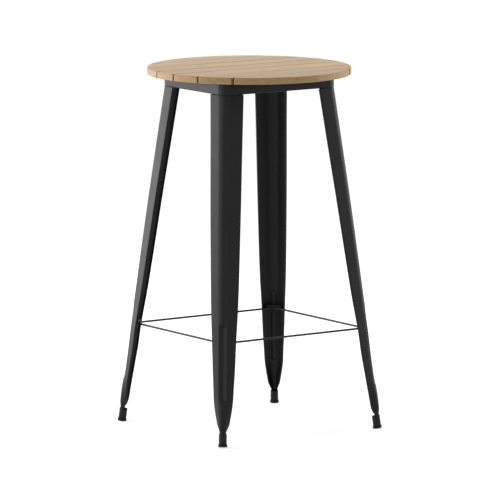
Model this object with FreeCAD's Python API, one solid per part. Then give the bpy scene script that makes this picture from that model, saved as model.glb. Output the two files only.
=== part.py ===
"""Round bar-height garden table: seven wood slats on a folded steel apron and four pressed legs.

Millimetres, +Z up. The origin is on the ground under the middle of the top. The slats run along X.
Every leg piece is modelled once, on the side of -X and -Y, and mirrored to the other corners.
Curved faces are kept few and plain, because the model is used as a light mesh too.
"""
import FreeCAD, Part
import math
import os

os.makedirs("parts", exist_ok=True)
Vec = FreeCAD.Vector
UP = Vec(0, 0, 1)
ORIGIN = Vec(0, 0, 0)
ROOT_HALF = math.sqrt(0.5)
INWARD = Vec(ROOT_HALF, ROOT_HALF, 0)
ACROSS = Vec(ROOT_HALF, -ROOT_HALF, 0)

# Whole table
table_height = 1068.0
top_diameter = 600.0
sheet = 1.5
fit_gap = 0.3
overrun = 20.0
same_place = 0.001

# Slats and the flat steel battens under them
slat_count = 7
slat_thickness = 20.0
slat_pitch = 86.4
slat_gap = 2.4
slat_chamfer = 1.5
batten_width = 30.0
batten_thickness = 3.0
batten_length = 510.0
batten_spacing = 220.0

# Apron
apron_length = 406.0
apron_width = 334.0
apron_depth = 35.5
apron_corner_radius = 33.0
apron_edge_chamfer = 1.2
top_flange = 24.0
bottom_flange = 26.0

# Leg sheet: a rounded V whose edges return inwards, rolled towards a tube at its lower end
leg_inset = 0.8
leg_seam = 1.2
leg_bow = 3.5
leg_radius_top = 32.5
leg_flat_top = 38.2
leg_flat_end = 2.0
leg_lip = 6.0
leg_lip_end = 4.0
leg_insertion = 9.5
v_half_angle = 38.5
rolled_half_angle = 88.0
rolled_height = 42.0
flare_height = 62.5

# Groove pressed into the leg's outer corner
groove_low = 128.0
groove_high = 356.0
groove_floor_width = 8.0
groove_depth = 5.0
groove_wall_angle = 72.0

# Shares along the groove: place, depth, width of the floor
groove_shares = [
    (0.000, 0.2, 0.60),
    (0.070, 1.0, 1.00),
    (0.930, 1.0, 1.00),
    (1.000, 0.2, 0.60),
]

# Foot
foot_x = 276.3
foot_y = 267.2
tube_diameter = 23.5
tube_wall = 1.5
tube_length = 29.5
cap_diameter = 26.5
cap_height = 8.5
cap_flat = 0.8
spigot_length = 14.0

# Leg plates and their bolts, one in each corner of the apron
leg_plate_thickness = 3.0
bolt_diameter = 8.0
bolt_clearance = 0.3
bolt_head_height = 5.3
bolt_from_face = 21.0
bolt_end = 2.0
nut_height = 6.5
nut_across_flats = 13.0
thread_clearance = 0.15

# Footrest ring, whose sides lie inside the leg corners by its insets, and its brackets
ring_height = 298.0
ring_inset_x = 7.0
ring_inset_y = 9.2
ring_rod_diameter = 6.0
ring_corner_radius = 35.0
ring_bend_steps = 3
bracket_sheet = 2.5
bracket_height = 12.0

# Levels and half sizes worked out from the sizes above
top_radius = top_diameter / 2
slat_bottom = table_height - slat_thickness
apron_top = slat_bottom - batten_thickness
apron_bottom = apron_top - apron_depth
leg_top = apron_bottom - leg_seam
tube_radius = tube_diameter / 2
tube_bore_radius = tube_radius - tube_wall
leg_radius_end = tube_bore_radius - fit_gap
bolt_place = Vec(bolt_from_face - apron_length / 2, bolt_from_face - apron_width / 2, apron_bottom)


def ridge_line(height):
    """The point at this height on the straight line from the top of the leg's outer corner to its foot."""
    top_retreat = leg_inset + leg_radius_top * (1 - ROOT_HALF)
    top = Vec(top_retreat - apron_length / 2, top_retreat - apron_width / 2, leg_top)
    ground = Vec(-foot_x, -foot_y, 0) - INWARD * leg_radius_end
    return ground + (top - ground) * (height / leg_top)


def leg_direction():
    """Unit vector up the leg."""
    line = ridge_line(leg_top) - ridge_line(0)
    return line.normalize()


def foot_point(distance):
    """The point on the foot tube's axis at this distance up the leg from the ground."""
    return Vec(-foot_x, -foot_y, 0) + leg_direction() * distance


# The cap stands on its inner edge, which is flattened where it meets the ground
leg_tilt = math.acos(leg_direction().z)
cap_bottom = cap_diameter / 2 * math.tan(leg_tilt) - cap_flat / math.cos(leg_tilt)
tube_bottom = cap_bottom + cap_height
tube_top = tube_bottom + tube_length
leg_end = (tube_top - leg_insertion) * math.cos(leg_tilt)

# Height up the leg, then shares of its outward bow, corner radius, flat width, closing of the V and lip
leg_shares = [
    (leg_end, 0.0, 0.00, 0.00, 1.00, 0.0),
    (rolled_height, 0.0, 0.00, 0.00, 1.00, 0.0),
    (flare_height, 1.0, 0.13, 0.36, 0.43, 0.8),
    (groove_low, 1.0, 0.63, 0.46, 0.00, 1.0),
    (groove_high, 1.0, 0.76, 0.75, 0.00, 1.0),
    (leg_top, 0.2, 1.00, 1.00, 0.00, 1.0),
]


def mixed(rows, place):
    """The rest of a table's row at this place in its first column, straight between the rows given."""
    for lower, upper in zip(rows, rows[1:]):
        if place <= upper[0] or upper is rows[-1]:
            along = (place - lower[0]) / (upper[0] - lower[0])
            return [a + (b - a) * along for a, b in zip(lower[1:], upper[1:])]


def ridge_at(height):
    """The point at this height on the ridge of the leg's outer corner, which bows outwards."""
    return ridge_line(height) - INWARD * mixed(leg_shares, height)[0] * leg_bow


# The ring's rod runs inside the legs at its own height
ring_length = -2 * (ridge_at(ring_height).x + ring_inset_x)
ring_width = -2 * (ridge_at(ring_height).y + ring_inset_y)


def rounded_rectangle(length, width, radius, height):
    """A closed wire at this height, centred on the Z axis."""
    x, y = length / 2, width / 2
    arcs = []
    for sign_x, sign_y, turn in ((1, 1, 0), (-1, 1, 90), (-1, -1, 180), (1, -1, 270)):
        centre = Vec(sign_x * (x - radius), sign_y * (y - radius), height)
        arcs.append(Part.makeCircle(radius, centre, UP, turn, turn + 90))
    edges = []
    for arc, following in zip(arcs, arcs[1:] + arcs[:1]):
        edges += [arc, Part.makeLine(arc.Vertexes[1].Point, following.Vertexes[0].Point)]
    return Part.Wire(edges)


def rounded_prism(length, width, radius, low, high):
    return Part.Face(rounded_rectangle(length, width, radius, low)).extrude(UP * (high - low))


def ruled_solid(wires):
    """A closed solid through these outlines, straight from one to the next."""
    return Part.makeLoft(wires, True, True)


def hexagon(across_flats, length, place):
    """A hexagonal prism standing on this point."""
    reach = across_flats / math.sqrt(3)
    turns = [math.radians(60 * side) for side in range(7)]
    corners = [place + Vec(math.cos(turn), math.sin(turn), 0) * reach for turn in turns]
    return Part.Face(Part.makePolygon(corners)).extrude(UP * length)


def edges_at(shape, height):
    """The edges that lie flat at this height."""
    ends = [(edge, edge.BoundBox.ZMin, edge.BoundBox.ZMax) for edge in shape.Edges]
    return [edge for edge, low, high in ends if abs(low - height) + abs(high - height) < same_place]


def four_corners(shape):
    """The shape on the side of -X and -Y, with its mirror images at the other three corners."""
    back_left = shape.mirror(ORIGIN, Vec(0, 1, 0))
    return {
        "front_left": shape,
        "front_right": shape.mirror(ORIGIN, Vec(1, 0, 0)),
        "back_left": back_left,
        "back_right": back_left.mirror(ORIGIN, Vec(1, 0, 0)),
    }


def slat(number):
    """One slat, counted from front to back, cut from the round top, with its upper edges eased."""
    width = slat_pitch - slat_gap
    y = (number - slat_count / 2) * slat_pitch + slat_gap / 2
    strip = Part.makeBox(top_diameter, width, slat_thickness, Vec(-top_radius, y, slat_bottom))
    board = Part.makeCylinder(top_radius, slat_thickness, Vec(0, 0, slat_bottom)).common(strip)
    return board.makeChamfer(slat_chamfer, edges_at(board, table_height))


def batten(side):
    """A flat steel bar across the slats, between them and the apron."""
    corner = Vec(side * batten_spacing / 2 - batten_width / 2, -batten_length / 2, apron_top)
    return Part.makeBox(batten_width, batten_length, batten_thickness, corner)


def bolt_hole():
    """Clearance hole for the bolt of the leg at -X and -Y, through the plates that it joins."""
    depth = leg_plate_thickness + sheet
    place = bolt_place - UP * (leg_plate_thickness + sheet)
    return Part.makeCylinder(bolt_diameter / 2 + bolt_clearance, depth + 2 * sheet, place)


def apron_frame():
    """Folded sheet ring with a flange turned in along its top and bottom edges."""
    outer = rounded_prism(apron_length, apron_width, apron_corner_radius, apron_bottom, apron_top)
    outer = outer.makeChamfer(apron_edge_chamfer, edges_at(outer, apron_bottom))
    openings = []
    middle = (apron_bottom + apron_top) / 2
    for inset, low, high in (
        (sheet, apron_bottom + sheet, apron_top - sheet),
        (bottom_flange, apron_bottom - overrun, middle),
        (top_flange, middle, apron_top + overrun),
    ):
        length, width = apron_length - 2 * inset, apron_width - 2 * inset
        openings.append(rounded_prism(length, width, apron_corner_radius - inset, low, high))
    return outer.cut(openings + list(four_corners(bolt_hole()).values()))


def leg_station(height):
    """Corner radius, flat width, half angle of the corner's arc and lip width at this height."""
    bow_share, radius_share, flat_share, closing, lip_share = mixed(leg_shares, height)
    radius = leg_radius_end + radius_share * (leg_radius_top - leg_radius_end)
    flat = leg_flat_end + flat_share * (leg_flat_top - leg_flat_end)
    half_angle = math.radians(v_half_angle + closing * (rolled_half_angle - v_half_angle))
    lip = leg_lip_end + lip_share * (leg_lip - leg_lip_end)
    return radius, flat, half_angle, lip


def groove_station(height):
    """Depth of the groove's floor and half its width at this height."""
    share = (height - groove_low) / (groove_high - groove_low)
    depth_share, width_share = mixed(groove_shares, share)
    return depth_share * groove_depth, width_share * groove_floor_width / 2


def on_corner(height, depth, angle):
    """The point on the corner's arc, this deep in the sheet and this far round from the ridge."""
    radius = leg_station(height)[0]
    centre = ridge_at(height) + INWARD * radius
    return centre - (INWARD * math.cos(angle) - ACROSS * math.sin(angle)) * (radius - depth)


def leg_side(height, side):
    """Corner points from the outer end of the arc, along the flat and round the lip, to its inner end."""
    radius, flat, half_angle, lip = leg_station(height)
    across = ACROSS * side
    along = INWARD * math.sin(half_angle) + across * math.cos(half_angle)
    returning = INWARD * math.cos(half_angle) - across * math.sin(half_angle)
    start = on_corner(height, 0, half_angle * side)
    corner = start + along * flat
    return [
        start,
        corner,
        corner + returning * lip,
        corner + returning * lip - along * sheet,
        corner + (returning - along) * sheet,
        start + returning * sheet,
    ]


def groove_edge_angle(height, depth, floor_depth, half_floor):
    """How far round the arc the groove's sloping wall meets it, at this depth in the sheet."""
    radius = leg_station(height)[0]
    slope = math.tan(math.radians(groove_wall_angle))
    reach = half_floor + floor_depth * slope
    a = 1 + slope ** 2
    b = -2 * (radius + slope * reach)
    c = radius ** 2 + reach ** 2 - (radius - depth) ** 2
    inward = (-b - math.sqrt(b ** 2 - 4 * a * c)) / (2 * a)
    return math.asin((reach - slope * inward) / (radius - depth))


def round_corner(height, depth, direction, grooved):
    """Edges round the leg's corner, this deep in the sheet, from one side of the V to the other."""
    end = leg_station(height)[2] * direction
    if not grooved:
        points = [on_corner(height, depth, angle) for angle in (-end, 0, end)]
        return [Part.Arc(*points).toShape()]
    wall = math.radians(groove_wall_angle)
    floor_depth, half_floor = groove_station(height)
    floor_depth += depth
    half_floor += depth * (1 / math.cos(wall) - math.tan(wall))
    edge = groove_edge_angle(height, depth, floor_depth, half_floor) * direction
    floor = ridge_at(height) + INWARD * floor_depth
    floor_end = ACROSS * half_floor * direction
    first = [on_corner(height, depth, angle) for angle in (-end, -(end + edge) / 2, -edge)]
    last = [on_corner(height, depth, angle) for angle in (edge, (end + edge) / 2, end)]
    return [
        Part.Arc(*first).toShape(),
        Part.makeLine(first[-1], floor - floor_end),
        Part.makeLine(floor - floor_end, floor + floor_end),
        Part.makeLine(floor + floor_end, last[0]),
        Part.Arc(*last).toShape(),
    ]


def leg_section(height, grooved):
    """Closed outline of the bent sheet, cut level at this height."""
    right, left = leg_side(height, 1), leg_side(height, -1)
    left.reverse()
    edges = round_corner(height, 0, 1, grooved)
    edges += [Part.makeLine(start, end) for start, end in zip(right, right[1:])]
    edges += round_corner(height, sheet, -1, grooved)
    edges += [Part.makeLine(start, end) for start, end in zip(left, left[1:])]
    return Part.Wire(edges)


def leg_sheet():
    """The pressed leg: tapering V, returned edges, rolled lower end and a groove in its corner."""
    heights = [row[0] for row in leg_shares]
    lower = [height for height in heights if height <= groove_low]
    middle = [groove_low + row[0] * (groove_high - groove_low) for row in groove_shares]
    upper = [groove_high] + [height for height in heights if height > groove_high]
    rolled_end = ruled_solid([leg_section(height, False) for height in lower])
    grooved = ruled_solid([leg_section(height, True) for height in middle])
    upper_end = ruled_solid([leg_section(height, False) for height in upper])
    return grooved.fuse([rolled_end, upper_end]).removeSplitter()


def leg_filling(height):
    """Closed outline of the space inside the V and between its lips, a fit's gap clear of the sheet."""
    margin = sheet + fit_gap
    sides = []
    for side in (1, -1):
        start, corner, lip_end = leg_side(height, side)[:3]
        along = (corner - start).normalize()
        returning = (lip_end - corner).normalize()
        flat_ends = (start + returning * margin, corner + (returning - along) * margin)
        sides.append(flat_ends + (lip_end - along * margin,))
    right, left = sides
    edges = [Part.Arc(left[0], on_corner(height, margin, 0), right[0]).toShape()]
    corners = right + left[::-1]
    edges += [Part.makeLine(start, end) for start, end in zip(corners, corners[1:])]
    return Part.Wire(edges)


def leg_plate():
    """Plate across the top of the leg, inside the V, drilled for its bolt."""
    levels = (apron_bottom - leg_plate_thickness, apron_bottom)
    return ruled_solid([leg_filling(height) for height in levels]).cut(bolt_hole())


def leg_bolt():
    """Hexagon bolt, up through the leg plate and the apron's bottom flange."""
    grip = leg_plate_thickness + sheet
    foot = bolt_place - UP * leg_plate_thickness
    head = hexagon(nut_across_flats, bolt_head_height, foot - UP * bolt_head_height)
    shank = Part.makeCylinder(bolt_diameter / 2, grip + nut_height + bolt_end, foot)
    return head.fuse(shank)


def leg_nut():
    """Hexagon nut on the apron's bottom flange."""
    place = bolt_place + UP * sheet
    bore = Part.makeCylinder(bolt_diameter / 2 + thread_clearance, nut_height, place)
    return hexagon(nut_across_flats, nut_height, place).cut(bore)


def footrest_ring():
    """One round rod in a rounded rectangle, its corners bent in short straight steps."""
    section = Part.Wire(Part.makeCircle(ring_rod_diameter / 2, ORIGIN, Vec(0, 1, 0)))
    x, y = ring_length / 2 - ring_corner_radius, ring_width / 2 - ring_corner_radius
    sections = []
    for sign_x, sign_y, first_turn in ((1, 1, 0), (-1, 1, 90), (-1, -1, 180), (1, -1, 270)):
        for step in range(ring_bend_steps + 1):
            turn = first_turn + 90 * step / ring_bend_steps
            copy = section.copy()
            copy.translate(Vec(ring_corner_radius, 0, 0))
            copy.rotate(ORIGIN, UP, turn)
            copy.translate(Vec(sign_x * x, sign_y * y, ring_height))
            sections.append(copy)
    return Part.makeLoft(sections, True, True, True)


def ring_offset(outward, low, high):
    """A prism whose sides lie this far outside the middle of the ring's rod."""
    return rounded_prism(ring_length + 2 * outward, ring_width + 2 * outward,
                         ring_corner_radius + outward, low, high)


def ring_bracket():
    """Folded tray across the inside of the leg, whose raised front edge follows the ring's corner."""
    low = ring_height - ring_rod_diameter / 2
    high = low + bracket_height
    inside = ruled_solid([leg_filling(height) for height in (low, high)])
    front = ring_rod_diameter / 2 + fit_gap
    tray = inside.cut(ring_offset(front, low - overrun, high + overrun))
    hollow = inside.cut(ring_offset(front + bracket_sheet, low - overrun, high + overrun))
    hollow = hollow.cut(ring_offset(overrun, low - overrun, low + bracket_sheet))
    groove_clearance = (groove_depth + sheet) / math.cos(leg_tilt) + fit_gap
    back = ridge_at(high) + INWARD * groove_clearance
    back.z = low - overrun
    reach = leg_flat_top + leg_radius_top
    behind = [back + ACROSS * reach, back - ACROSS * reach, back - INWARD * 2 * reach, back + ACROSS * reach]
    corner = Part.Face(Part.makePolygon(behind)).extrude(UP * (bracket_height + 2 * overrun))
    return tray.cut([hollow, corner])


def on_foot_axis(shape, distance):
    """The shape, modelled up the Z axis, turned to the leg and set at this distance up it."""
    copy = shape.copy()
    copy.Placement = FreeCAD.Placement(foot_point(distance), FreeCAD.Rotation(UP, leg_direction()))
    return copy


def foot_tube():
    """Short round tube that the leg's rolled end is pushed into."""
    outside = Part.makeCylinder(tube_radius, tube_length)
    bore = Part.makeCylinder(tube_bore_radius, tube_length)
    return on_foot_axis(outside.cut(bore), tube_bottom)


def foot_cap():
    """Rubber cap with a spigot up the tube, flattened where it meets the ground."""
    disc = Part.makeCylinder(cap_diameter / 2, cap_height)
    spigot = Part.makeCylinder(tube_bore_radius - fit_gap, spigot_length, Vec(0, 0, cap_height))
    ground = Part.makeBox(2 * cap_diameter, 2 * cap_diameter, overrun,
                          Vec(-foot_x - cap_diameter, -foot_y - cap_diameter, -overrun))
    return on_foot_axis(disc.fuse(spigot), cap_bottom).cut(ground)


def save(shape, name):
    shape.exportStep("parts/" + name + ".step")


for number in range(slat_count):
    save(slat(number), f"slat_{number + 1}")
save(batten(-1), "batten_left")
save(batten(1), "batten_right")
save(apron_frame(), "apron_frame")
save(footrest_ring(), "footrest_ring")
for corner, leg in four_corners(leg_sheet()).items():
    save(leg, "leg_" + corner)

# Small pieces that are alike at every corner share a node, as four separate solids
alike = {
    "leg_plates": leg_plate(),
    "leg_bolts": leg_bolt(),
    "leg_nuts": leg_nut(),
    "ring_brackets": ring_bracket(),
    "foot_tubes": foot_tube(),
    "foot_caps": foot_cap(),
}
for name, piece in alike.items():
    save(Part.makeCompound(list(four_corners(piece).values())), name)
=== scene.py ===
"""Looks of the round bar-height garden table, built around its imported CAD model.

Metres, +Z up. The origin is on the ground under the middle of the top. The slats run along X.
Leg pieces are worked out once, on the side of -X and -Y, and mirrored to the other corners.
"""
import math
import random
import bmesh
import bpy
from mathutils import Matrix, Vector


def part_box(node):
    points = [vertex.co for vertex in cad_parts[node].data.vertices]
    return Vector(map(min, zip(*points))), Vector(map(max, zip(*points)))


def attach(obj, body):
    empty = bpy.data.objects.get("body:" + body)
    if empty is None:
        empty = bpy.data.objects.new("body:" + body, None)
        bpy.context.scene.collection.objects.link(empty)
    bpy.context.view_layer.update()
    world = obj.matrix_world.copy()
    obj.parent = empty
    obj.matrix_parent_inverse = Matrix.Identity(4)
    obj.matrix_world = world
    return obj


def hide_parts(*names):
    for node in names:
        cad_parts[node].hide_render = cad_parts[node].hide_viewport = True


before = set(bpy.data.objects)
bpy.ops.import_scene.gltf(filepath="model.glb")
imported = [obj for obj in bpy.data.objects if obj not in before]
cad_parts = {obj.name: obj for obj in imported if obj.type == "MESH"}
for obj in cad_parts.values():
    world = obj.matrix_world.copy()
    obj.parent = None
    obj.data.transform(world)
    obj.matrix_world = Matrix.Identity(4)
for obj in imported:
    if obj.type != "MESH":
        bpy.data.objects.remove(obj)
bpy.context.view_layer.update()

ROOT_HALF = math.sqrt(0.5)
UP = Vector((0, 0, 1))
INWARD = Vector((ROOT_HALF, ROOT_HALF, 0))
ACROSS = Vector((ROOT_HALF, -ROOT_HALF, 0))
CORNERS = {"front_left": (1, 1), "front_right": (-1, 1), "back_left": (1, -1), "back_right": (-1, -1)}
WHITE = (1, 1, 1)

# Camera
camera_azimuth = math.radians(-34.47)
camera_elevation = math.radians(8.335)
camera_distance = 15.965
camera_aim = Vector((0.0029, 0, 0.5228))
camera_lens = 389.4
sensor_width = 36

# Lamps: azimuth and elevation in degrees, size and radiance of each softbox
light_aim = Vector((0, 0, 0.6))
light_distance = 3.2
tall_box = (1.15, 2.8)
square_box = (1.6, 1.6)
softboxes = [
    (-160, 12, tall_box, 3.2),
    (-140, 12, tall_box, 5.4),
    (-100, 12, tall_box, 2.8),
    (-80, 12, tall_box, 0.9),
    (-20, 12, tall_box, 0.6),
    (80, 12, tall_box, 3.4),
    (34, 45, square_box, 2.8),
    (90, 45, square_box, 1.0),
    (150, 45, square_box, 3.0),
]

# Floor and world, white to the rays that look at them; near the feet the floor keeps some shadow
room_light = 0.05
floor_half_size = 60
floor_colour = (0.8, 0.8, 0.8)
floor_glow_near = 0.5
floor_glow_far = 1
floor_near = 0.7
floor_far = 3

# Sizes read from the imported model
slat_count = 7
slat_boxes = [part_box(f"slat_{number + 1}") for number in range(slat_count)]
middle_low, middle_high = slat_boxes[slat_count // 2]
top_radius = middle_high.x
slat_bottom, table_height = middle_low.z, middle_high.z
apron_low, apron_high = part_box("apron_frame")
ring_low, ring_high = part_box("footrest_ring")
leg_low, leg_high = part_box("leg_front_left")
leg_end, leg_top = leg_low.z, leg_high.z

# Slats
slat_edge_radius = 0.0018
slat_corner_radius = 0.0025
mirror_tolerance = 1e-9

# Apron
sheet = 0.0015
apron_corner_radius = 0.033
apron_bend_radius = 0.003
top_flange = 0.024
bottom_flange = 0.026

# Leg sheet
leg_inset = 0.0008
leg_radius_top = 0.0325
leg_radius_end = 0.00995
leg_flat_top = 0.0382
leg_flat_end = 0.002
leg_bow = 0.0035
leg_lip_top = 0.006
leg_lip_end = 0.004
leg_lip_bend = 0.002
leg_bend_share = 0.9  # the most of the flat that its bend may take
v_half_angle = math.radians(38.5)
rolled_half_angle = math.radians(88)
foot_x = 0.2763
foot_y = 0.2672

# Each row: height as a share of the leg's, then shares of bow, corner radius, flat, closing and lip
leg_shares = [
    (0.000, 0.00, 0.000, 0.000, 1.000, 0.0),
    (0.013, 0.00, 0.000, 0.000, 1.000, 0.0),
    (0.021, 0.40, 0.055, 0.180, 0.722, 0.4),
    (0.034, 1.00, 0.125, 0.358, 0.454, 0.8),
    (0.049, 1.16, 0.215, 0.393, 0.366, 1.0),
    (0.062, 1.24, 0.310, 0.415, 0.266, 1.0),
    (0.078, 1.24, 0.420, 0.432, 0.182, 1.0),
    (0.092, 1.08, 0.510, 0.451, 0.112, 1.0),
    (0.108, 0.83, 0.600, 0.469, 0.040, 1.0),
    (0.133, 0.50, 0.665, 0.485, -0.006, 1.0),
    (0.194, 0.55, 0.733, 0.559, -0.002, 1.0),
    (0.275, 0.94, 0.755, 0.656, -0.038, 1.0),
    (0.377, 0.94, 0.780, 0.789, -0.014, 1.0),
    (0.501, 1.09, 0.824, 0.862, 0.010, 1.0),
    (0.685, 0.97, 0.889, 0.922, 0.022, 1.0),
    (0.849, 0.57, 0.947, 0.950, 0.050, 1.0),
    (1.000, 0.20, 1.000, 0.998, 0.046, 1.0),
]

# Groove pressed into the leg's outer corner: a V with rounded ends
groove_low = 0.128
groove_high = 0.356
groove_depth = 0.0088
groove_wall_turn = math.radians(28)
groove_end_length = 0.013
groove_edge_softness = 0.0006
groove_bottom_softness = 0.000375
groove_margin = 0.004
groove_end_reach = 0.016

# Levels up the leg, and how far apart its rings may be from each level to the next
leg_levels = [
    leg_end,
    0.072,
    groove_low - groove_margin,
    groove_low + groove_end_reach,
    groove_high - groove_end_reach,
    groove_high + groove_margin,
    0.5,
    leg_top,
]
leg_spacings = [0.003, 0.008, 0.0015, 0.012, 0.0015, 0.02, 0.08]

# Foot
tube_radius = 0.01175
tube_wall = 0.0015
tube_length = 0.0295
cap_radius = 0.01325
cap_height = 0.0085
cap_flat = 0.0008
cap_edge_radius = 0.0015
spigot_clearance = 0.0003
spigot_length = 0.014

# Footrest ring
rod_radius = (ring_high.z - ring_low.z) / 2
ring_corner_radius = 0.035

# Screws, bolts and nuts
batten_low, batten_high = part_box("batten_left")
screw_spread = 0.022
screw_head_radius = 0.004
screw_head_height = 0.0022
# The domed head and its round socket, as shares of the head's radius and height
screw_profile = [
    (0.96, 0),
    (1, 0.15),
    (0.97, 0.4),
    (0.85, 0.75),
    (0.66, 0.95),
    (0.48, 1),
    (0.42, 0.94),
    (0.4, 0.3),
]
bolt_low, bolt_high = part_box("leg_bolts")
nut_low, nut_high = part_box("leg_nuts")
bolt_from_face = 0.021
bolt_radius = 0.004
bolt_head_height = 0.0053
washer_face_height = 0.0004
hexagon_half_width = 0.0065
hexagon_corner_radius = hexagon_half_width / math.cos(math.pi / 6)
hexagon_face_radius = 0.0061
hexagon_chamfer_height = 0.0008
thread_pitch = 0.00125
thread_depth = 0.0006
thread_clearance = 0.00015

# Weld beads: thinner at their ends, faintly rippled
weld_radius = 0.0011
weld_end_share = 0.35
weld_ripple = 0.12
weld_ripple_turn = 3
tube_weld_half_angle = math.radians(75)
ring_weld_half_angle = math.radians(16)
plate_weld_drop = 0.0019
plate_weld_start = 0.15
plate_weld_run = 0.7
plate_weld_inward = 1.6 * sheet
plate_weld_across = 1.2 * sheet

# Wood; a noise's scale is how often it repeats in a metre along each axis
wood_dark = (0.355, 0.215, 0.097)
wood_middle = (0.505, 0.325, 0.155)
wood_light = (0.62, 0.42, 0.22)
wood_seed = 3
wood_shift = 9
wood_tones = (0.95, 1.04)
wood_warmths = (0.985, 1.015)
wood_roughness = (0.66, 0.54)
figure_scale = (1.6, 22, 22)
figure_share = 0.4
streak_scale = (7, 340, 340)
pore_scale = (28, 1500, 1500)
pore_dark = (0.62, 0.55, 0.48)
pore_share = 0.6
# Painted shade along the gaps between slats: its colour, its reach and how much the streaks break it up
gap_painted_shade = (0.42, 0.36, 0.31)
gap_painted_shade_width = 0.0032
gap_streak_share = 0.4

# Powder coat
powder_dark = (0.008, 0.008, 0.0085)
powder_light = (0.013, 0.013, 0.0135)
powder_specular = 0.17
powder_roughness = (0.37, 0.49)
cloud_scale = 7
speckle_scale = 420
speckle_share = 0.5
orange_peel_scale = 620

# Rubber
rubber_dark = (0.007, 0.007, 0.007)
rubber_light = (0.018, 0.017, 0.016)
rubber_specular = 0.15
rubber_roughness = (0.55, 0.8)
scuff_scale = (220, 220, 700)
scuff_height = 0.006
scuff_gain = 0.45
mould_scale = 1500

# Zinc
zinc_dark = (0.42, 0.43, 0.45)
zinc_light = (0.60, 0.61, 0.63)
zinc_roughness = (0.28, 0.46)
zinc_cloud_scale = 260
turning_scale = (300, 300, 5200)

# How finely curves are divided
crease_angle = math.radians(32)
corner_steps = 16
edge_steps = 4
arc_step = math.radians(1.5)
leg_arc_steps = 44
leg_flat_steps = 6
leg_lip_steps = 3
round_steps = 48
rod_steps = 24
weld_steps = 10
weld_path_steps = 40
plate_weld_steps = 24
screw_steps = 24
bolt_steps = 48
chamfer_steps = 4


def arc(centre, radius, start, end, steps):
    """Points on an arc in a plane, both ends included."""
    turns = [start + (end - start) * step / steps for step in range(steps + 1)]
    return [(centre[0] + radius * math.cos(turn), centre[1] + radius * math.sin(turn)) for turn in turns]


def circle(radius, steps, centre=(0, 0)):
    """Points evenly round a circle in a plane."""
    return arc(centre, radius, 0, 2 * math.pi, steps)[:-1]


def skin(rings, closed_along=False):
    """Points and faces through closed rings of equal count; the two ends are filled unless they join."""
    count = len(rings[0])
    points = [point for ring in rings for point in ring]
    faces = []
    for span in range(len(rings) if closed_along else len(rings) - 1):
        here, there = span * count, (span + 1) % len(rings) * count
        for step in range(count):
            after = (step + 1) % count
            faces.append((here + step, here + after, there + after, there + step))
    if not closed_along:
        faces.append(tuple(range(count)))
        faces.append(tuple(range(len(points) - count, len(points))))
    return points, faces


def add_piece(name, shape, material, slot, *replaced):
    """A mesh piece that rides on the table and stands for the named CAD nodes."""
    mesh = bpy.data.meshes.new(name)
    mesh.from_pydata([tuple(point) for point in shape[0]], [], shape[1])
    solid = bmesh.new()
    solid.from_mesh(mesh)
    bmesh.ops.recalc_face_normals(solid, faces=solid.faces)
    solid.to_mesh(mesh)
    solid.free()
    mesh.shade_smooth()
    mesh.set_sharp_from_angle(angle=crease_angle)
    mesh.materials.append(material)
    piece = bpy.data.objects.new(name, mesh)
    bpy.context.scene.collection.objects.link(piece)
    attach(piece, "root")
    if replaced:
        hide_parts(*replaced)


def mirrored(shape, corner):
    """A shape worked out for the corner at -X and -Y, taken to another corner."""
    flip_x, flip_y = CORNERS[corner]
    return [Vector((point[0] * flip_x, point[1] * flip_y, point[2])) for point in shape[0]], shape[1]


def joined(shapes):
    """Several shapes as one."""
    points, faces = [], []
    for more_points, more_faces in shapes:
        start = len(points)
        points += more_points
        faces += [tuple(start + index for index in face) for face in more_faces]
    return points, faces


def four_corners(shape):
    """A shape worked out for the corner at -X and -Y, repeated at all four corners."""
    return joined([mirrored(shape, corner) for corner in CORNERS])


def slat_half_outline(number, inset):
    """The +X half of a slat's outline, front to back, this far inside its full edges."""
    low, high = slat_boxes[number][0].y + inset, slat_boxes[number][1].y - inset
    radius, corner = top_radius - inset, slat_corner_radius
    first, last = -math.pi / 2, math.pi / 2
    points = []
    if number > 0:
        reach = math.sqrt((radius - corner) ** 2 - (low + corner) ** 2)
        first = math.atan2(low + corner, reach)
        points += arc((reach, low + corner), corner, -math.pi / 2, first, edge_steps)[:-1]
    tail = []
    if number < slat_count - 1:
        reach = math.sqrt((radius - corner) ** 2 - (high - corner) ** 2)
        last = math.atan2(high - corner, reach)
        tail = arc((reach, high - corner), corner, last, math.pi / 2, edge_steps)[1:]
    # Counted on the full edges, so that every inset has as many points
    span = math.asin(min(1, slat_boxes[number][1].y / top_radius))
    span -= math.asin(max(-1, slat_boxes[number][0].y / top_radius))
    steps = math.ceil(span / arc_step)
    return points + arc((0, 0), radius, first, last, steps) + tail


def slat_shape(number):
    """One slat with rounded edges, as a closed shape."""
    rows = []
    for step in range(edge_steps + 1):
        turn = math.pi / 2 * step / edge_steps
        inset = slat_edge_radius * (1 - math.sin(turn))
        drop = slat_edge_radius * (1 - math.cos(turn))
        rows.append((inset, drop))
    levels = [(inset, slat_bottom + drop) for inset, drop in rows]
    levels += [(inset, table_height - drop) for inset, drop in reversed(rows)]
    rings = []
    for inset, height in levels:
        half = slat_half_outline(number, inset)
        other = [(-x, y) for x, y in reversed(half) if x > mirror_tolerance]
        rings.append([(x, y, height) for x, y in half + other])
    return skin(rings)


def around_rectangle(profile, length, width, radius):
    """A shape swept round a rounded rectangle; the profile's points are (inset, height)."""
    x, y = length / 2 - radius, width / 2 - radius
    rings = []
    for inset, height in profile:
        ring = []
        for side_x, side_y, turn in ((1, 1, 0), (-1, 1, 1), (-1, -1, 2), (1, -1, 3)):
            start = turn * math.pi / 2
            centre = (side_x * x, side_y * y)
            corner = arc(centre, radius - inset, start, start + math.pi / 2, corner_steps)
            ring += [(*point, height) for point in corner]
        rings.append(ring)
    return skin(rings, closed_along=True)


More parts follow.
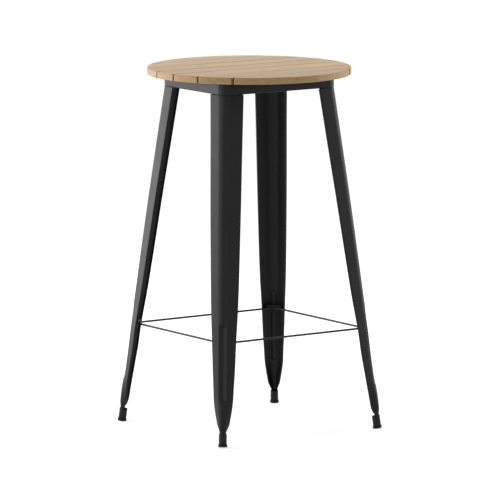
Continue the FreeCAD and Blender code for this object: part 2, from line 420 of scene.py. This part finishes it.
def apron_shape():
    """The folded apron: its wall and both flanges, with the bends rounded."""
    low, high, bend = apron_low.z, apron_high.z, apron_bend_radius
    quarter = math.pi / 2
    outer = [(bottom_flange, low)]
    outer += arc((bend, low + bend), bend, -quarter, -2 * quarter, edge_steps)
    outer += arc((bend, high - bend), bend, 2 * quarter, quarter, edge_steps)
    outer += [(top_flange, high)]
    inner = [(top_flange, high - sheet)]
    inner += arc((bend, high - bend), bend - sheet, quarter, 2 * quarter, edge_steps)
    inner += arc((bend, low + bend), bend - sheet, -2 * quarter, -quarter, edge_steps)
    inner += [(bottom_flange, low + sheet)]
    size = apron_high - apron_low
    return around_rectangle(outer + inner, size.x, size.y, apron_corner_radius)


def ring_shape():
    """The footrest's round rod."""
    profile = circle(rod_radius, rod_steps, (0, ring_low.z + rod_radius))
    size = ring_high - ring_low
    length, width = size.x - 2 * rod_radius, size.y - 2 * rod_radius
    return around_rectangle(profile, length, width, ring_corner_radius)


def ridge_line(height):
    """The point at this height on the straight line down the leg's outer corner, without its bow."""
    retreat = leg_inset + leg_radius_top * (1 - ROOT_HALF)
    top = Vector((apron_low.x + retreat, apron_low.y + retreat, leg_top))
    ground = Vector((-foot_x, -foot_y, 0)) - INWARD * leg_radius_end
    return ground + (top - ground) * (height / leg_top)


leg_direction = (ridge_line(leg_top) - ridge_line(0)).normalized()
leg_tilt = math.acos(leg_direction.z)
cap_bottom = cap_radius * math.tan(leg_tilt) - cap_flat / math.cos(leg_tilt)
tube_bottom = cap_bottom + cap_height


def slope_between(first, second, column, least):
    """How fast a table's column changes between two rows, counted as this far apart at least."""
    return (second[column] - first[column]) / max(second[0] - first[0], least)


def shared_slope(slope, other):
    """The slope where two spans meet: their mean, or level at a peak."""
    return (slope + other) / 2 if slope * other > 0 else 0


def smooth_row(rows, place):
    """A table's other columns at this place in its first, on a smooth curve through its rows."""
    place = min(max(place, rows[0][0]), rows[-1][0])
    index = max(number for number, row in enumerate(rows[:-1]) if row[0] <= place)
    low, high = rows[index], rows[index + 1]
    before, after = rows[max(index - 1, 0)], rows[min(index + 2, len(rows) - 1)]
    span = high[0] - low[0]
    t = (place - low[0]) / span
    values = []
    for column in range(1, len(low)):
        slope = slope_between(low, high, column, span)
        slope_before = slope if before is low else slope_between(before, low, column, span)
        slope_after = slope if after is high else slope_between(high, after, column, span)
        enter, leave = shared_slope(slope, slope_before), shared_slope(slope, slope_after)
        value = (2 * t ** 3 - 3 * t ** 2 + 1) * low[column] + (3 * t ** 2 - 2 * t ** 3) * high[column]
        value += ((t ** 3 - 2 * t ** 2 + t) * enter + (t ** 3 - t ** 2) * leave) * span
        values.append(value)
    return values


def soft_ramp(value, softness):
    """Zero below zero and the value above it, with a rounded turn."""
    return (value + math.sqrt(value ** 2 + softness ** 2)) / 2


def groove_surface(height, across):
    """How far inside the ridge the pressed groove would lie at this point."""
    middle = min(max(height, groove_low + groove_end_length), groove_high - groove_end_length)
    along = (height - middle) * groove_depth / groove_end_length
    reach = math.hypot(across * math.tan(groove_wall_turn), along, groove_bottom_softness)
    return groove_depth - reach


def leg_row(height):
    """Shares of the leg's bow, radius, flat, closing and lip at this height."""
    return smooth_row(leg_shares, (height - leg_end) / (leg_top - leg_end))


def ridge_point(height):
    """The point at this height on the leg's bowed outer corner."""
    return ridge_line(height) - INWARD * leg_row(height)[0] * leg_bow


def straight(start, direction, run, steps):
    """Points on a straight run, its start left out."""
    shares = [run * step / steps for step in range(1, steps + 1)]
    return [(start[0] + direction[0] * share, start[1] + direction[1] * share) for share in shares]


def grooved_corner(height, radius, end):
    """Half of the leg's round outer corner, from the ridge to this turn, with the groove pressed in."""
    steps = leg_arc_steps // 2
    points = []
    for step in range(steps + 1):
        turn = end * step / steps
        inward, across = radius * (1 - math.cos(turn)), radius * math.sin(turn)
        pressed = soft_ramp(groove_surface(height, across) - inward, groove_edge_softness)
        points.append((inward + pressed, across))
    return points


def leg_outline(height):
    """The leg's outside at this height, from lip to lip, as (inward, across) from the ridge."""
    radius_share, flat_share, closing, lip_share = leg_row(height)[1:]
    radius = leg_radius_end + radius_share * (leg_radius_top - leg_radius_end)
    flat = leg_flat_end + flat_share * (leg_flat_top - leg_flat_end)
    end = v_half_angle + closing * (rolled_half_angle - v_half_angle)
    lip = leg_lip_end + lip_share * (leg_lip_top - leg_lip_end)
    bend = min(leg_lip_bend, flat * leg_bend_share)
    half = grooved_corner(height, radius, end)
    half += straight(half[-1], (math.sin(end), math.cos(end)), flat - bend, leg_flat_steps)
    hub = (half[-1][0] + math.cos(end) * bend, half[-1][1] - math.sin(end) * bend)
    half += arc(hub, bend, math.pi - end, math.pi / 2 - end, edge_steps)[1:]
    half += straight(half[-1], (math.cos(end), -math.sin(end)), lip - bend, leg_lip_steps)
    return [(inward, -across) for inward, across in reversed(half[1:])] + half


def leg_ring(height):
    """Closed ring round the bent sheet at this height."""
    outside = leg_outline(height)
    inside = []
    last = len(outside) - 1
    for number, (inward, across) in enumerate(outside):
        before, after = outside[max(number - 1, 0)], outside[min(number + 1, last)]
        run_inward, run_across = after[0] - before[0], after[1] - before[1]
        run = math.hypot(run_inward, run_across)
        inside.append((inward + run_across / run * sheet, across - run_inward / run * sheet))
    ridge = ridge_point(height)
    return [ridge + INWARD * inward + ACROSS * across for inward, across in outside + inside[::-1]]


def leg_heights():
    """Heights of the leg's rings, close together where its shape changes fast."""
    heights = []
    for low, high, spacing in zip(leg_levels, leg_levels[1:], leg_spacings):
        count = math.ceil((high - low) / spacing)
        heights += [low + (high - low) * number / count for number in range(count)]
    return heights + [leg_top]


def leg_shape():
    """The bent sheet of a whole leg."""
    return skin([leg_ring(height) for height in leg_heights()])


def turned(profile, closed_along):
    """A shape turned about the foot's axis and cut off at the ground.

    The profile's points are (radius, distance up the leg).
    """
    side = leg_direction.cross(UP).normalized()
    front = side.cross(leg_direction)
    origin = Vector((-foot_x, -foot_y, 0))
    rings = []
    for radius, distance in profile:
        ring = []
        for x, y in circle(radius, round_steps):
            point = origin + leg_direction * distance + side * x + front * y
            point.z = max(point.z, 0)
            ring.append(point)
        rings.append(ring)
    return skin(rings, closed_along)


def tube_shape():
    """Short foot tube with its rims eased."""
    top, ease = tube_bottom + tube_length, tube_wall / 3
    inner = tube_radius - tube_wall
    profile = [
        (tube_radius - ease, tube_bottom), (tube_radius, tube_bottom + ease),
        (tube_radius, top - ease), (tube_radius - ease, top),
        (inner + ease, top), (inner, top - ease),
        (inner, tube_bottom + ease), (inner + ease, tube_bottom),
    ]
    return turned(profile, closed_along=True)


def cap_shape():
    """Rubber cap with rounded edges, and its spigot in the tube."""
    edge = cap_edge_radius
    quarter = math.pi / 2
    spigot = tube_radius - tube_wall - spigot_clearance
    profile = arc((cap_radius - edge, cap_bottom + edge), edge, -quarter, 0, edge_steps)
    profile += arc((cap_radius - edge, tube_bottom - edge), edge, 0, quarter, edge_steps)
    profile += [(spigot, tube_bottom), (spigot, tube_bottom + spigot_length)]
    return turned(profile, closed_along=False)


def bead_shape(path):
    """A weld bead along a line of points, thick in the middle, thin at its ends and faintly rippled."""
    rings = []
    for number, point in enumerate(path):
        before, after = path[max(number - 1, 0)], path[min(number + 1, len(path) - 1)]
        run = (after - before).normalized()
        side = run.orthogonal().normalized()
        lift = run.cross(side)
        swell = weld_end_share + (1 - weld_end_share) * math.sin(math.pi * number / (len(path) - 1))
        radius = weld_radius * swell * (1 + weld_ripple * math.cos(weld_ripple_turn * number))
        rings.append([point + side * x + lift * y for x, y in circle(radius, weld_steps)])
    return skin(rings)


def weld_turns(middle, half_angle):
    """Directions along a curved weld, from one end to the other."""
    half = weld_path_steps // 2
    return [middle + half_angle * step / half for step in range(-half, half + 1)]


def tube_weld():
    """The bead that joins the outside of the leg's rolled end to the foot tube's rim."""
    outward = ACROSS.cross(leg_direction).normalized()
    radius = tube_radius - tube_wall / 2
    centre = Vector((-foot_x, -foot_y, 0)) + leg_direction * (tube_bottom + tube_length)
    path = []
    for turn in weld_turns(0, tube_weld_half_angle):
        path.append(centre + (outward * math.cos(turn) + ACROSS * math.sin(turn)) * radius)
    return bead_shape(path)


def ring_weld():
    """The bead that joins the footrest's corner to the bracket inside the leg."""
    radius = ring_corner_radius + rod_radius
    centre = Vector((ring_low.x + radius, ring_low.y + radius, ring_high.z - rod_radius / 2))
    path = []
    for turn in weld_turns(math.radians(225), ring_weld_half_angle):
        path.append(centre + Vector((math.cos(turn), math.sin(turn), 0)) * radius)
    return bead_shape(path)


def plate_welds():
    """Two beads under the leg plate, along the flats of the V."""
    height = leg_top - plate_weld_drop
    outline = leg_outline(height)
    flat_start = len(outline) // 2 + leg_arc_steps // 2
    first, last = outline[flat_start], outline[flat_start + leg_flat_steps]
    ridge = ridge_point(height)
    beads = []
    for side in (-1, 1):
        path = []
        for step in range(plate_weld_steps + 1):
            share = plate_weld_start + plate_weld_run * step / plate_weld_steps
            inward = first[0] + (last[0] - first[0]) * share + plate_weld_inward
            across = first[1] + (last[1] - first[1]) * share - plate_weld_across
            path.append(ridge + INWARD * inward + ACROSS * across * side)
        beads.append(bead_shape(path))
    return joined(beads)


def screw_shape(place):
    """The domed head of a screw driven up at this point, with a round socket in it."""
    rings = []
    for reach, depth in screw_profile:
        drop = depth * screw_head_height
        rim = circle(reach * screw_head_radius, screw_steps)
        rings.append([place + Vector((x, y, -drop)) for x, y in rim])
    return skin(rings)


def slat_screws():
    """Screws up through the battens, and through the apron's top flange where it lies below them."""
    shapes = []
    x = abs(batten_low.x + batten_high.x) / 2
    for number, (low, high) in enumerate(slat_boxes):
        middle = (low.y + high.y) / 2
        places = [middle - screw_spread, middle + screw_spread]
        if number == 0:
            places = [(batten_low.y + high.y) / 2]
        if number == slat_count - 1:
            places = [(low.y + batten_high.y) / 2]
        for y in places:
            on_flange = apron_high.y - top_flange < abs(y) < apron_high.y
            height = apron_high.z - sheet if on_flange else batten_low.z
            shapes += [screw_shape(Vector((side * x, y, height))) for side in (-1, 1)]
    return joined(shapes)


def bolt_ring(height, reach):
    """A ring about the axis of the bolt at -X and -Y; reach gives its radius in each direction."""
    x, y = apron_low.x + bolt_from_face, apron_low.y + bolt_from_face
    ring = []
    for step in range(bolt_steps):
        turn = 2 * math.pi * step / bolt_steps
        ring.append((x + reach(turn) * math.cos(turn), y + reach(turn) * math.sin(turn), height))
    return ring


def bolt_circle(height, radius):
    """A round ring about the axis of the bolt at -X and -Y."""
    return bolt_ring(height, lambda turn: radius)


def hexagon_reach(limit):
    """A hexagon's radius in each direction, with its corners cut back to a round limit."""
    side = math.pi / 3
    return lambda turn: min(limit, hexagon_half_width / math.cos(turn % side - side / 2))


def chamfer_rings(face, way):
    """Rings from a hexagon's end face to its full outline; way is 1 upwards and -1 downwards."""
    rings = []
    for step in range(chamfer_steps + 1):
        share = step / chamfer_steps
        limit = hexagon_face_radius + share * (hexagon_corner_radius - hexagon_face_radius)
        rings.append(bolt_ring(face + way * share * hexagon_chamfer_height, hexagon_reach(limit)))
    return rings


def bolt_shape():
    """Bolt with a chamfered hexagon head, a washer face and a threaded end."""
    head_top = bolt_low.z + bolt_head_height
    washer_bottom = head_top - washer_face_height
    root = bolt_radius - thread_depth
    rings = chamfer_rings(bolt_low.z, 1)
    rings.append(bolt_ring(washer_bottom, hexagon_reach(hexagon_corner_radius)))
    rings += [bolt_circle(height, hexagon_face_radius) for height in (washer_bottom, head_top)]
    rings.append(bolt_circle(head_top, bolt_radius))
    height = nut_low.z
    while height + thread_pitch < bolt_high.z:
        rings.append(bolt_circle(height, bolt_radius))
        rings.append(bolt_circle(height + thread_pitch / 2, root))
        height += thread_pitch
    rings.append(bolt_circle(height, bolt_radius))
    rings.append(bolt_circle(bolt_high.z, root))
    return skin(rings)


def nut_shape():
    """Hexagon nut, chamfered at both ends."""
    bore = bolt_radius + thread_clearance
    rings = chamfer_rings(nut_low.z, 1) + chamfer_rings(nut_high.z, -1)[::-1]
    rings += [bolt_circle(height, bore) for height in (nut_high.z, nut_low.z)]
    return skin(rings, closed_along=True)


def put_facing(item, aim, azimuth, elevation, distance):
    """Adds a camera or lamp that looks at its aim from this azimuth, elevation and distance."""
    back = Vector((
        math.sin(azimuth) * math.cos(elevation),
        -math.cos(azimuth) * math.cos(elevation),
        math.sin(elevation),
    ))
    item.location = aim + back * distance
    item.rotation_euler = back.to_track_quat("Z", "Y").to_euler()
    bpy.context.scene.collection.objects.link(item)


def add_camera():
    """The camera at the photograph's viewing angle."""
    data = bpy.data.cameras.new("camera")
    data.lens = camera_lens
    data.sensor_width = sensor_width
    data.clip_end = 4 * camera_distance
    camera = bpy.data.objects.new("camera", data)
    put_facing(camera, camera_aim, camera_azimuth, camera_elevation, camera_distance)
    bpy.context.scene.camera = camera


def add_softbox(azimuth, elevation, size, radiance):
    """A soft lamp that looks at the table from this azimuth and elevation, in degrees."""
    data = bpy.data.lights.new("softbox", "AREA")
    data.shape = "RECTANGLE"
    data.size, data.size_y = size
    data.energy = radiance * math.pi * size[0] * size[1]
    light = bpy.data.objects.new("softbox", data)
    put_facing(light, light_aim, math.radians(azimuth), math.radians(elevation), light_distance)
    light.visible_camera = False


def combined(tree, operation, first, second):
    """Two values put together by one operation of a Math node."""
    node = tree.nodes.new("ShaderNodeMath")
    node.operation = operation
    tree.links.new(first, node.inputs[0])
    tree.links.new(second, node.inputs[1])
    return node.outputs[0]


def seen(tree):
    """One for the camera's rays and for those that it sends on by gloss or through glass, else zero."""
    path = tree.nodes.new("ShaderNodeLightPath")
    either = path.outputs["Is Camera Ray"]
    for name in ("Is Glossy Ray", "Is Transmission Ray"):
        either = combined(tree, "MAXIMUM", either, path.outputs[name])
    return either


def floor_glow(tree):
    """How bright the floor looks beyond the light that it throws back; less so near the feet."""
    away = tree.nodes.new("ShaderNodeVectorMath")
    away.operation = "LENGTH"
    tree.links.new(tree.nodes.new("ShaderNodeTexCoord").outputs["Object"], away.inputs[0])
    glows = (floor_glow_near, floor_glow_far)
    spread = remapped(tree, away.outputs["Value"], (floor_near, floor_far), glows)
    return combined(tree, "MULTIPLY", spread, seen(tree))


def floor_material():
    """Matt and pale, and white to the rays that look at it."""
    material = bpy.data.materials.new("floor")
    material.use_nodes = True
    tree = material.node_tree
    tree.nodes.clear()
    matt = tree.nodes.new("ShaderNodeBsdfDiffuse")
    matt.inputs["Color"].default_value = (*floor_colour, 1)
    glow = tree.nodes.new("ShaderNodeEmission")
    glow.inputs["Color"].default_value = (*WHITE, 1)
    tree.links.new(floor_glow(tree), glow.inputs["Strength"])
    both = tree.nodes.new("ShaderNodeAddShader")
    tree.links.new(matt.outputs[0], both.inputs[0])
    tree.links.new(glow.outputs[0], both.inputs[1])
    out = tree.nodes.new("ShaderNodeOutputMaterial")
    tree.links.new(both.outputs[0], out.inputs["Surface"])
    return material


def add_floor():
    """Plain pale floor that keeps the table's soft shadow near the feet."""
    size = floor_half_size
    mesh = bpy.data.meshes.new("floor")
    corners = [(-size, -size, 0), (size, -size, 0), (size, size, 0), (-size, size, 0)]
    mesh.from_pydata(corners, [], [(0, 1, 2, 3)])
    floor = bpy.data.objects.new("floor", mesh)
    bpy.context.scene.collection.objects.link(floor)
    floor.data.materials.append(floor_material())


def add_world():
    """A white background to the rays that look at it, and a dim room to those that light the table."""
    world = bpy.data.worlds.new("world")
    bpy.context.scene.world = world
    world.use_nodes = True
    tree = world.node_tree
    room = tree.nodes["Background"]
    room.inputs["Color"].default_value = (*WHITE, 1)
    tree.links.new(remapped(tree, seen(tree), (0, 1), (room_light, 1)), room.inputs["Strength"])


def new_material(name):
    """A material with its principled shader, and the table's own coordinates in metres."""
    material = bpy.data.materials.new(name)
    material.use_nodes = True
    tree = material.node_tree
    place = tree.nodes.new("ShaderNodeTexCoord").outputs["Object"]
    return material, tree, tree.nodes["Principled BSDF"], place


def scaled(tree, place, scale, offset=(0, 0, 0)):
    """Coordinates drawn out by a scale along each axis, then moved."""
    mapping = tree.nodes.new("ShaderNodeMapping")
    mapping.inputs["Scale"].default_value = scale
    mapping.inputs["Location"].default_value = offset
    tree.links.new(place, mapping.inputs["Vector"])
    return mapping.outputs["Vector"]


def noise(tree, place, scale=1, detail=2, roughness=0.5, distortion=0):
    """A noise texture's grey value."""
    texture = tree.nodes.new("ShaderNodeTexNoise")
    texture.inputs["Scale"].default_value = scale
    texture.inputs["Detail"].default_value = detail
    texture.inputs["Roughness"].default_value = roughness
    texture.inputs["Distortion"].default_value = distortion
    tree.links.new(place, texture.inputs["Vector"])
    return texture.outputs["Fac"]


def colour_ramp(tree, value, stops):
    """Colours set at places between 0 and 1 of a value."""
    ramp = tree.nodes.new("ShaderNodeValToRGB")
    elements = ramp.color_ramp.elements
    while len(elements) < len(stops):
        elements.new(0.5)
    for element, (position, colour) in zip(elements, stops):
        element.position = position
        element.color = (*colour, 1)
    tree.links.new(value, ramp.inputs["Fac"])
    return ramp.outputs["Color"]


def remapped(tree, value, source, target):
    """A value taken from one range to another."""
    node = tree.nodes.new("ShaderNodeMapRange")
    node.inputs["From Min"].default_value, node.inputs["From Max"].default_value = source
    node.inputs["To Min"].default_value, node.inputs["To Max"].default_value = target
    tree.links.new(value, node.inputs["Value"])
    return node.outputs["Result"]


def multiplied(tree, first, second):
    """One colour darkened by another."""
    mix = tree.nodes.new("ShaderNodeMix")
    mix.data_type = "RGBA"
    mix.blend_type = "MULTIPLY"
    mix.inputs["Factor"].default_value = 1
    tree.links.new(first, mix.inputs["A"])
    tree.links.new(second, mix.inputs["B"])
    return mix.outputs["Result"]


def added(tree, first, second, share):
    """One value plus a share of another."""
    node = tree.nodes.new("ShaderNodeMath")
    node.operation = "MULTIPLY_ADD"
    node.inputs[1].default_value = share
    tree.links.new(second, node.inputs[0])
    tree.links.new(first, node.inputs[2])
    return node.outputs[0]


def bumped(tree, shader, height, strength, distance):
    """Gives a shader a bump from a height, this many metres deep."""
    bump = tree.nodes.new("ShaderNodeBump")
    bump.inputs["Strength"].default_value = strength
    bump.inputs["Distance"].default_value = distance
    tree.links.new(height, bump.inputs["Height"])
    tree.links.new(bump.outputs["Normal"], shader.inputs["Normal"])


def painted_gap_shade(tree, place, number, streaks):
    """Painted shade that darkens a slat's wood along the gaps on either side of it."""
    axes = tree.nodes.new("ShaderNodeSeparateXYZ")
    tree.links.new(place, axes.inputs[0])
    low, high = slat_boxes[number]
    near = []
    if number > 0:
        near.append(remapped(tree, axes.outputs["Y"], (low.y, low.y + gap_painted_shade_width), (0, 1)))
    if number < slat_count - 1:
        near.append(remapped(tree, axes.outputs["Y"], (high.y, high.y - gap_painted_shade_width), (0, 1)))
    nearest = near[0]
    for other in near[1:]:
        nearest = combined(tree, "MINIMUM", nearest, other)
    streaked = added(tree, nearest, streaks, gap_streak_share)
    return colour_ramp(tree, streaked, [(0.2, gap_painted_shade), (0.85, WHITE)])


def wood_material(number):
    """Oiled teak of one slat: long figure and fine streaks along X, dark pores, a tone of its own and
    painted shade along its gaps.
    """
    chance = random.Random(number + wood_seed)
    material, tree, shader, place = new_material(f"slat_wood_{number + 1}")
    offset = [chance.uniform(-wood_shift, wood_shift) for axis in range(3)]
    tone = chance.uniform(*wood_tones)
    warmth = chance.uniform(*wood_warmths)
    tint = (tone * warmth, tone, tone / warmth)
    figure = noise(tree, scaled(tree, place, figure_scale, offset), detail=3, distortion=0.7)
    along = scaled(tree, place, streak_scale, offset)
    streaks = noise(tree, along, detail=4, roughness=0.6, distortion=0.25)
    tinted = []
    for position, colour in ((0.42, wood_dark), (0.70, wood_middle), (0.98, wood_light)):
        tinted.append((position, [part * share for part, share in zip(colour, tint)]))
    body = colour_ramp(tree, added(tree, streaks, figure, figure_share), tinted)
    pores = noise(tree, scaled(tree, place, pore_scale, offset), detail=2, roughness=0.6)
    pore_shade = colour_ramp(tree, pores, [(0.28, pore_dark), (0.40, WHITE)])
    # Painted shade along the gaps, darkening the wood beside them
    gaps = painted_gap_shade(tree, place, number, streaks)
    grain_with_painted_shade = multiplied(tree, multiplied(tree, body, pore_shade), gaps)
    tree.links.new(grain_with_painted_shade, shader.inputs["Base Color"])
    tree.links.new(remapped(tree, streaks, (0.3, 0.7), wood_roughness), shader.inputs["Roughness"])
    relief = added(tree, streaks, pores, pore_share)
    bumped(tree, shader, relief, strength=0.35, distance=0.0006)
    return material


def powder_material():
    """Black powder coat: satin, with fine orange peel and cloudy sheen."""
    material, tree, shader, place = new_material("powder_coat")
    clouds = noise(tree, place, scale=cloud_scale, detail=4, roughness=0.6)
    colour = colour_ramp(tree, clouds, [(0.3, powder_dark), (0.7, powder_light)])
    tree.links.new(colour, shader.inputs["Base Color"])
    shader.inputs["Specular IOR Level"].default_value = powder_specular
    sheen = added(tree, clouds, noise(tree, place, scale=speckle_scale), speckle_share)
    tree.links.new(remapped(tree, sheen, (0.45, 1.05), powder_roughness), shader.inputs["Roughness"])
    bumped(tree, shader, noise(tree, place, scale=orange_peel_scale), strength=0.12, distance=0.0003)
    return material


def rubber_material():
    """Black rubber with a fine moulded texture, greyer where it has rubbed on the ground."""
    material, tree, shader, place = new_material("foot_rubber")
    shader.inputs["Specular IOR Level"].default_value = rubber_specular
    axes = tree.nodes.new("ShaderNodeSeparateXYZ")
    tree.links.new(place, axes.inputs[0])
    scuffs = noise(tree, scaled(tree, place, scuff_scale), detail=4, roughness=0.65)
    low = remapped(tree, axes.outputs["Z"], (0, scuff_height), (scuff_gain, 0))
    wear = added(tree, scuffs, low, 1)
    colour = colour_ramp(tree, wear, [(0.5, rubber_dark), (1.0, rubber_light)])
    tree.links.new(colour, shader.inputs["Base Color"])
    tree.links.new(remapped(tree, scuffs, (0.3, 0.7), rubber_roughness), shader.inputs["Roughness"])
    bumped(tree, shader, noise(tree, place, scale=mould_scale), strength=0.2, distance=0.0002)
    return material


def zinc_material():
    """Zinc-plated steel: clouded grey metal with fine turning marks."""
    material, tree, shader, place = new_material("zinc_plate")
    clouds = noise(tree, place, scale=zinc_cloud_scale, detail=4, roughness=0.6)
    colour = colour_ramp(tree, clouds, [(0.3, zinc_dark), (0.7, zinc_light)])
    tree.links.new(colour, shader.inputs["Base Color"])
    shader.inputs["Metallic"].default_value = 1
    tree.links.new(remapped(tree, clouds, (0.3, 0.7), zinc_roughness), shader.inputs["Roughness"])
    marks = noise(tree, scaled(tree, place, turning_scale))
    bumped(tree, shader, marks, strength=0.15, distance=0.0001)
    return material


add_camera()
add_floor()
add_world()
for softbox in softboxes:
    add_softbox(*softbox)

powder = powder_material()
rubber = rubber_material()
zinc = zinc_material()
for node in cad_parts.values():
    node.data.materials.clear()
    node.data.materials.append(powder)

for number in range(slat_count):
    node_name = f"slat_{number + 1}"
    add_piece(f"wood_{node_name}", slat_shape(number), wood_material(number), "slat_wood", node_name)
add_piece("folded_apron", apron_shape(), powder, "frame_steel", "apron_frame")
add_piece("footrest_rod", ring_shape(), powder, "frame_steel", "footrest_ring")
leg = leg_shape()
for corner in CORNERS:
    add_piece(f"pressed_leg_{corner}", mirrored(leg, corner), powder, "frame_steel", f"leg_{corner}")
add_piece("round_foot_tubes", four_corners(tube_shape()), powder, "frame_steel", "foot_tubes")
add_piece("rubber_foot_caps", four_corners(cap_shape()), rubber, "foot_rubber", "foot_caps")
add_piece("threaded_leg_bolts", four_corners(bolt_shape()), zinc, "fastener_steel", "leg_bolts")
add_piece("chamfered_leg_nuts", four_corners(nut_shape()), zinc, "fastener_steel", "leg_nuts")
add_piece("tube_welds", four_corners(tube_weld()), powder, "frame_steel")
add_piece("ring_welds", four_corners(ring_weld()), powder, "frame_steel")
add_piece("plate_welds", four_corners(plate_welds()), powder, "frame_steel")
add_piece("slat_screws", slat_screws(), zinc, "fastener_steel")

bpy.context.scene.view_settings.view_transform = "Standard"
